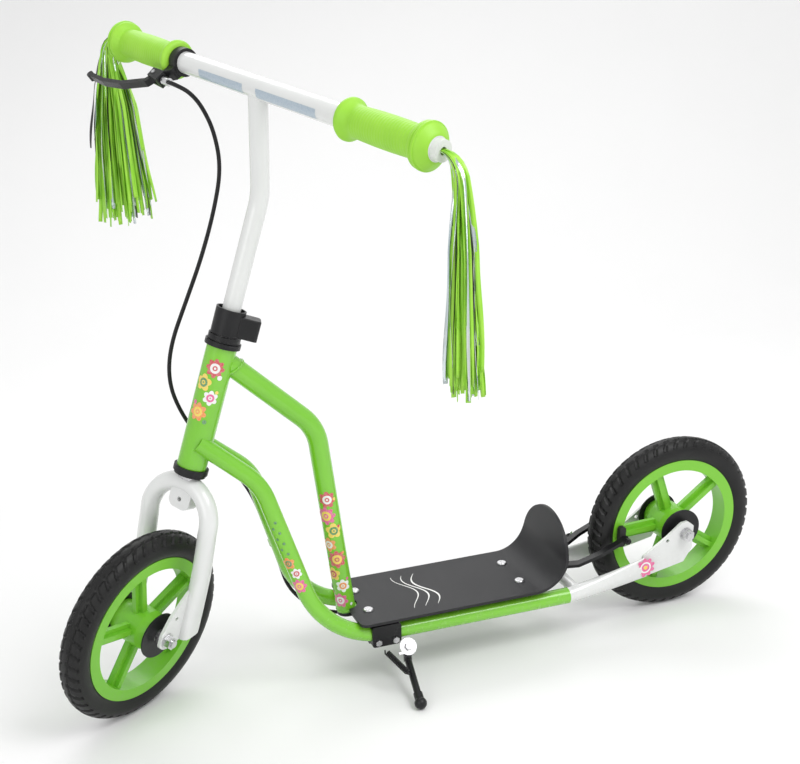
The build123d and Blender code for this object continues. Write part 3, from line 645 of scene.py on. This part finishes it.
# Kickstand spring: a coil with a straight hook at each end.
springSettings = {
    "turns": 15, "turnSteps": 14, "radius": 0.0032, "wire": 0.0010, "sides": 7, "hook": 0.004,
    "start": (0.458, 0.0725, 0.052), "end": (0.443, 0.108, 0.0385),
}


def makeSpring():
    start = toRow @ Vector(springSettings["start"])
    end = toRow @ Vector(springSettings["end"])
    along = (end - start).normalized()
    side = along.cross(Vector((0, 0, 1))).normalized()
    other = along.cross(side)
    hook = along * springSettings["hook"]
    path = [start - hook]
    steps = springSettings["turns"] * springSettings["turnSteps"]
    for step in range(steps + 1):
        angle = 2 * pi * springSettings["turns"] * step / steps
        ring = (side * cos(angle) + other * sin(angle)) * springSettings["radius"]
        path.append(start.lerp(end, step / steps) + ring)
    path.append(end + hook)
    mesh = bmesh.new()
    sweepTube(mesh, path, [springSettings["wire"]] * len(path), springSettings["sides"])
    spring = newPiece("kickstandCoil", mesh, Matrix.Identity(4), [blackMetal])
    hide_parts("kickstand_spring")
    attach(spring, "frame")


makeSpring()
print("spring made")


# Tassels: foil strips out of each end plug, over a crown and down. Low and high are the spread's radii.
tasselSettings = {
    "left": {
        "side": 1, "strips": 92, "drop": 0.236, "low": 0.0165, "high": 0.0085, "hang": 0.0265, "seed": 5,
    },
    "right": {
        "side": -1, "strips": 124, "drop": 0.226, "low": 0.0360, "high": 0.0150, "hang": 0.0180, "seed": 9,
    },
}
stripSettings = {
    "thick": 0.00025, "plug": 0.2985, "inside": 0.008, "root": 0.0026, "rise": 0.0012, "crown": 0.011,
    "crownSpread": 0.015, "crownSteps": 6, "rows": 22, "green": 0.80, "silver": 0.96, "short": 0.12,
}


def stripPath(settings, start, outward, chance):
    angle = chance.uniform(0, 2 * pi)
    reach = chance.random() ** 0.5
    drop = settings["drop"] * chance.uniform(0.84, 1.0)
    if chance.random() < stripSettings["short"]:
        drop *= chance.uniform(0.6, 0.85)
    aside = Vector((cos(angle), sin(angle), 0))
    wobble = chance.uniform(0, 2 * pi)
    curl = chance.uniform(0.0006, 0.0022)
    level = Vector((outward.x, outward.y, 0)).normalized()
    rise = Vector((0, 0, stripSettings["rise"] * sin(wobble)))
    root = start + (aside * stripSettings["root"] + rise) * reach
    crown = stripSettings["crown"] + stripSettings["crownSpread"] * reach
    path = [root - outward * stripSettings["inside"], root]
    bends = stripSettings["crownSteps"]
    for step in range(1, bends + 1):
        turn = 0.5 * pi * step / bends
        over = outward * crown * sin(turn) + Vector((0, 0, -crown * (1 - cos(turn))))
        path.append(root + over + aside * settings["high"] * 0.45 * reach * step / bends)
    top = path[-1]
    hang = level * (settings["hang"] - crown) + aside * settings["high"] * 0.55 * reach
    length = drop - (start.z - top.z)
    for row in range(1, stripSettings["rows"] + 1):
        share = row / stripSettings["rows"]
        opened = (settings["low"] - settings["high"]) * share ** 0.8
        sway = curl * sin(wobble + share * 8.0) * share
        drift = hang * min(1.0, share * 3) + aside * (opened * reach + sway)
        path.append(top + drift - Vector((0, 0, length * share)))
    return path


# A flat strip that turns a little about its own line as it goes down.
def addStrip(mesh, path, width, facing, material):
    rings = []
    for index, point in enumerate(path):
        ahead = heading(path, index)
        turn = facing + 0.35 * sin(index * 0.35 + facing * 3)
        flat = Vector((cos(turn), sin(turn), 0))
        flat = (flat - ahead * flat.dot(ahead)).normalized() * width / 2
        deep = ahead.cross(flat).normalized() * stripSettings["thick"] / 2
        corners = (flat + deep, flat - deep, -flat - deep, -flat + deep)
        rings.append([mesh.verts.new(point + corner) for corner in corners])
    joinRings(mesh, rings, material)


def makeTassel(word):
    settings = tasselSettings[word]
    chance = random.Random(settings["seed"])
    side = settings["side"]
    start = gripToRow @ Vector((0, side * stripSettings["plug"], 0))
    outward = (gripToRow.to_3x3() @ Vector((0, side, 0))).normalized()
    mesh = bmesh.new()
    for _ in range(settings["strips"]):
        pick = chance.random()
        material = 0 if pick < stripSettings["green"] else (1 if pick < stripSettings["silver"] else 2)
        width = chance.uniform(0.0036, 0.0056)
        path = stripPath(settings, start, outward, chance)
        addStrip(mesh, path, width, chance.uniform(0, pi), material)
    tassel = newPiece("tasselStrips" + word.capitalize(), mesh, Matrix.Identity(4),
                      [greenFoil, silverFoil, blackFoil])
    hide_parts("tassel_" + word)
    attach(tassel, "handlebar")


makeTassel("left")
makeTassel("right")
print("tassels made")


# Printed flowers and dots, as thin patches that follow a tube. Each mark stands just off the one under it.
printSettings = {"bloom": 1.24, "lift": 0.00012, "layer": 0.00006, "layers": 4, "patchRows": 3}
inkOrder = ["white", "red", "pink", "yellow", "orange", "leaf", "greyBlue"]
viewer = Vector((0.55, 0.83, 0.1))     # the side the prints face


def tubeAxes(start, end, facing):
    along = (end - start).normalized()
    out = (facing - along * facing.dot(along)).normalized()
    return start, along, out, along.cross(out)


def tubePoint(axes, radius, along, around):
    start, direction, out, side = axes
    angle = around / radius
    return start + direction * along + (out * cos(angle) + side * sin(angle)) * radius


def addPatch(mesh, axes, radius, centre, outline, material):
    middle = mesh.verts.new(tubePoint(axes, radius, *centre))
    rings = []
    for row in range(1, printSettings["patchRows"] + 1):
        share = row / printSettings["patchRows"]
        spots = [(centre[0] + u * share, centre[1] + v * share) for u, v in outline]
        rings.append([mesh.verts.new(tubePoint(axes, radius, *spot)) for spot in spots])
    count = len(outline)
    for step in range(count):
        turn = (step + 1) % count
        mesh.faces.new((middle, rings[0][step], rings[0][turn])).material_index = material
        for first, second in zip(rings, rings[1:]):
            face = mesh.faces.new((first[step], second[step], second[turn], first[turn]))
            face.material_index = material


def flowerOutline(radius, petals, depth=0.32, steps=60):
    outline = []
    for step in range(steps):
        angle = 2 * pi * step / steps
        reach = radius * (1 - depth + depth * abs(cos(angle * petals / 2)))
        outline.append((reach * cos(angle), reach * sin(angle)))
    return outline


def markOutline(form, size):
    if form == "dot":
        return flowerOutline(size, 1, 0, 28)     # no depth makes a plain circle
    return flowerOutline(size, form)


def decorate(name, body, axes, radius, marks):
    mesh = bmesh.new()
    for index, (form, along, around, size, ink) in enumerate(marks):
        lift = radius + printSettings["lift"] + printSettings["layer"] * (index % printSettings["layers"])
        addPatch(mesh, axes, lift, (along, around), markOutline(form, size), inkOrder.index(ink))
    finishPrint(name, body, mesh, Matrix.Identity(4), inkOrder)


def finishPrint(name, body, mesh, place, inkNames):
    piece = newPiece(name, mesh, place, [inks[ink] for ink in inkNames])
    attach(piece, body)


def flower(along, around, size, petal, heart, petals):
    size *= printSettings["bloom"]
    return [(petals, along, around, size, petal), ("dot", along, around, size * 0.52, heart),
            ("dot", along, around, size * 0.26, petal), ("dot", along, around, size * 0.12, heart)]


def flowers(rows):
    return [mark for row in rows for mark in flower(*row)]


headStart = headToRow @ Vector((0, 0, 0))
headEnd = headToRow @ Vector((0, 0, 0.1527))
headMarks = flowers((
    (0.128, 0.004, 0.0095, "red", "white", 8), (0.108, -0.006, 0.0085, "yellow", "leaf", 5),
    (0.092, 0.007, 0.0075, "white", "pink", 6), (0.072, -0.004, 0.0092, "orange", "yellow", 7),
)) + [
    ("dot", 0.118, 0.012, 0.003, "white"), ("dot", 0.082, -0.011, 0.0026, "pink"),
    ("dot", 0.1, 0.013, 0.0022, "yellow"), ("dot", 0.062, 0.007, 0.0026, "leaf"),
]
decorate("headTubeFlowers", "frame", tubeAxes(headStart, headEnd, viewer), 0.01825, headMarks)

topStart = toRow @ Vector((0.4882, 0, 0.086))
topEnd = toRow @ Vector((0.5212, 0, 0.3486))
topMarks = flowers((
    (0.020, -0.002, 0.0088, "pink", "white", 7), (0.042, 0.005, 0.0078, "white", "orange", 6),
    (0.060, -0.006, 0.0082, "yellow", "red", 5), (0.082, 0.003, 0.0105, "red", "yellow", 8),
    (0.104, -0.005, 0.0085, "orange", "white", 6), (0.124, 0.005, 0.0090, "yellow", "leaf", 5),
    (0.146, -0.002, 0.0105, "pink", "yellow", 8), (0.169, 0.003, 0.0095, "red", "white", 7),
))
topMarks += [("dot", 0.012 + 0.0195 * step, 0.0125 * (-1) ** step, 0.0021, inkOrder[step % 5])
             for step in range(9)]
decorate("topTubeFlowers", "frame", tubeAxes(topStart, topEnd, viewer), 0.01275, topMarks)

railStart = toRow @ Vector((0.532, 0.050, 0.0695))
railEnd = toRow @ Vector((0.601, 0.022, 0.294))
railMarks = flowers((
    (0.094, 0.0, 0.0082, "pink", "yellow", 7), (0.112, 0.003, 0.0060, "white", "red", 6),
    (0.128, -0.002, 0.0070, "orange", "leaf", 5),
))
railMarks += [("dot", 0.141 + 0.0075 * step, 0.003 * (-1) ** step, 0.0019, "leaf") for step in range(7)]
decorate("railFlowers", "frame", tubeAxes(railStart, railEnd, viewer), 0.01115, railMarks)


# Two printed strips along the bar's white middle.
barStripSettings = {
    "from": -0.13, "facing": (0.75, 0, -0.45), "strips": ((0.075, 0.085), (0.195, 0.105)), "rows": 12,
    "cells": 6, "width": 0.011, "lift": 0.00015,
}


def makeBarStrips():
    mesh = bmesh.new()
    rows = barStripSettings["rows"]
    cells = barStripSettings["cells"]
    width = barStripSettings["width"]
    barStart = gripToRow @ Vector((0, barStripSettings["from"], 0))
    barEnd = gripToRow @ Vector((0, -barStripSettings["from"], 0))
    axes = tubeAxes(barStart, barEnd, barToRow.to_3x3() @ Vector(barStripSettings["facing"]))
    for middle, length in barStripSettings["strips"]:
        grid = [[mesh.verts.new(tubePoint(axes, barRadius + barStripSettings["lift"],
                                          middle - length / 2 + length * row / rows,
                                          -width / 2 + width * cell / cells))
                 for cell in range(cells + 1)] for row in range(rows + 1)]
        for near, far in zip(grid, grid[1:]):
            for cell in range(cells):
                mesh.faces.new((near[cell], far[cell], far[cell + 1], near[cell + 1]))
    finishPrint("barStrips", "handlebar", mesh, Matrix.Identity(4), ["greyBlue"])


makeBarStrips()

# One flower on the flat side of the white stay.
stayFlowerSettings = {
    "spot": (0.064, 0.0498, 0.0885), "layer": 0.0001,
    "marks": (
        (9, 0.0150, "pink"), ("dot", 0.0085, "white"), ("dot", 0.0062, "pink"), ("dot", 0.003, "yellow"),
    ),
}


def makeStayFlower():
    mesh = bmesh.new()
    for index, (form, size, ink) in enumerate(stayFlowerSettings["marks"]):
        level = stayFlowerSettings["layer"] * index
        verts = [mesh.verts.new((u, level, v)) for u, v in markOutline(form, size)]
        mesh.faces.new(verts).material_index = inkOrder.index(ink)
    place = toRow @ Matrix.Translation(stayFlowerSettings["spot"])
    finishPrint("stayFlower", "frame", mesh, place, inkOrder)


makeStayFlower()

# Three tapering waves across the deck's front.
waveSettings = {
    "waves": 3, "steps": 60, "start": 0.375, "pitch": 0.012, "swing": 0.010, "lag": 0.6, "across": 0.09,
    "level": 0.09365, "thin": 0.0003, "thick": 0.0013, "fade": 0.25,
}


def makeDeckWaves():
    mesh = bmesh.new()
    for wave in range(waveSettings["waves"]):
        rows = []
        for step in range(waveSettings["steps"] + 1):
            share = step / waveSettings["steps"]
            y = waveSettings["across"] * (share - 0.5)
            swing = waveSettings["swing"] * sin(share * 2 * pi + wave * waveSettings["lag"])
            x = waveSettings["start"] + waveSettings["pitch"] * wave + swing
            fade = 1 - waveSettings["fade"] * wave
            half = waveSettings["thin"] + waveSettings["thick"] * sin(pi * share) * fade
            rows.append([mesh.verts.new((x + push, y, waveSettings["level"])) for push in (-half, half)])
        for first, second in zip(rows, rows[1:]):
            mesh.faces.new((first[0], first[1], second[1], second[0]))
    finishPrint("deckWaves", "frame", mesh, toRow, ["white"])


makeDeckWaves()
print("decoration made")

# Weld beads where the top tube meets the head tube and the deck's front bar.
weldSettings = {
    "head": (0.6358, 0, 0.4539), "knee": (0.5212, 0, 0.3486), "headBack": 0.0215, "headTilt": (0.25, 0, -0.2),
    "headRing": 0.0132, "headBead": 0.0016, "foot": (0.4878, 0, 0.0885), "footTilt": (0.1, 0, 1),
    "footRing": 0.0128, "footBead": 0.0014, "steps": 72, "ripple": 0.22, "ripplePitch": 2.1,
}


def weldRing(mesh, centre, axis, radius, bead):
    axis = axis.normalized()
    side = axis.cross(Vector((0, 1, 0))).normalized()
    other = axis.cross(side)
    path = []
    radii = []
    for step in range(weldSettings["steps"] + 1):
        angle = 2 * pi * step / weldSettings["steps"]
        path.append(centre + (side * cos(angle) + other * sin(angle)) * radius)
        radii.append(bead * (1 + weldSettings["ripple"] * sin(step * weldSettings["ripplePitch"])))
    sweepTube(mesh, path, radii, 8)


def makeWelds():
    mesh = bmesh.new()
    head = Vector(weldSettings["head"])
    back = (Vector(weldSettings["knee"]) - head).normalized()
    weldRing(mesh, head + back * weldSettings["headBack"], back + Vector(weldSettings["headTilt"]),
             weldSettings["headRing"], weldSettings["headBead"])
    weldRing(mesh, Vector(weldSettings["foot"]), Vector(weldSettings["footTilt"]),
             weldSettings["footRing"], weldSettings["footBead"])
    piece = newPiece("frameWelds", mesh, toRow, [greenPaint])
    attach(piece, "frame")


makeWelds()
print("welds made")

# Floor: a pale sheet that curves up behind the scooter.
studio = {
    "reach": 9.0, "wall": -3.2, "curve": 1.6, "curveSteps": 24, "height": 7.0, "turn": -19.3, "world": 0.78,
    "lights": (
        # name, place, target, size, power
        ("keyLight", (-1.0, 1.6, 2.6), (0, 0, 0.35), (1.5, 1.5), 41.0),
        ("fillLight", (2.3, 1.6, 1.4), (0, 0, 0.3), (1.6, 1.6), 15.0),
        ("rimLight", (-0.3, -2.0, 2.2), (0, 0, 0.4), (2.2, 1.0), 20.0),
    ),
}


def makeFloor():
    finish = Finish("floorPaper")
    grain = finish.noise(3.0, 2.0)
    tint = finish.blend(grain, grey(0.86), grey(0.84))
    paper = finish.set(Base_Color=tint, Roughness=0.9)
    profile = [Vector((0, studio["reach"], 0)), Vector((0, studio["wall"] + studio["curve"], 0))]
    for step in range(1, studio["curveSteps"] + 1):
        turn = 0.5 * pi * step / studio["curveSteps"]
        away = studio["curve"] * (1 - sin(turn))
        profile.append(Vector((0, studio["wall"] + away, studio["curve"] * (1 - cos(turn)))))
    profile.append(Vector((0, studio["wall"], studio["height"])))
    mesh = bmesh.new()
    verts = [mesh.verts.new(point - Vector((studio["reach"], 0, 0))) for point in profile]
    edges = [mesh.edges.new(pair) for pair in zip(verts, verts[1:])]
    moved = bmesh.ops.extrude_edge_only(mesh, edges=edges)["geom"]
    corners = [item for item in moved if isinstance(item, bmesh.types.BMVert)]
    bmesh.ops.translate(mesh, verts=corners, vec=(2 * studio["reach"], 0, 0))
    floor = newPiece("floor", mesh, Matrix.Rotation(radians(studio["turn"]), 4, "Z"), [paper])
    if floor.data.polygons[0].normal.z < 0:
        floor.data.flip_normals()


def addLight(name, place, target, size, power):
    data = bpy.data.lights.new(name, "AREA")
    data.shape = "RECTANGLE"
    data.size = size[0]
    data.size_y = size[1]
    data.energy = power
    light = bpy.data.objects.new(name, data)
    light.location = place
    light.rotation_euler = (Vector(target) - Vector(place)).to_track_quat("-Z", "Y").to_euler()
    bpy.context.scene.collection.objects.link(light)


makeFloor()
for light in studio["lights"]:
    addLight(*light)
world = bpy.data.worlds.new("studioWorld")
bpy.context.scene.world = world
world.use_nodes = True
world.node_tree.nodes["Background"].inputs["Color"].default_value = grey(1)
world.node_tree.nodes["Background"].inputs["Strength"].default_value = studio["world"]

# Angles in degrees; the target is measured from under the rear axle, on the ground.
cameraSettings = {
    "azimuth": 70.7213, "elevation": 22.2809, "roll": -1.9808, "target": (0.4440, 0, 0.2171),
    "distance": 1.68968, "lens": 58.38, "sensor": 36.0, "shift": (0.0334, 0.1603),
}


def makeCamera():
    az = radians(cameraSettings["azimuth"])
    el = radians(cameraSettings["elevation"])
    roll = radians(cameraSettings["roll"])
    back = Vector((cos(el) * cos(az), cos(el) * sin(az), sin(el)))
    origin = toRow @ Vector((0, 0, 0))
    target = Vector(cameraSettings["target"]) + Vector((origin.x, origin.y, 0))
    across = Vector((0, 0, 1)).cross(back).normalized()
    upward = back.cross(across)
    right = across * cos(roll) + upward * sin(roll)
    top = upward * cos(roll) - across * sin(roll)
    spot = target + back * cameraSettings["distance"]
    data = bpy.data.cameras.new("camera")
    data.lens = cameraSettings["lens"]
    data.sensor_width = cameraSettings["sensor"]
    data.shift_x, data.shift_y = cameraSettings["shift"]
    camera = bpy.data.objects.new("camera", data)
    camera.matrix_world = Matrix((
        (right.x, top.x, back.x, spot.x),
        (right.y, top.y, back.y, spot.y),
        (right.z, top.z, back.z, spot.z),
        (0, 0, 0, 1),
    ))
    bpy.context.scene.collection.objects.link(camera)
    bpy.context.scene.camera = camera


makeCamera()
bpy.context.scene.view_settings.view_transform = "Standard"
print("stage made")
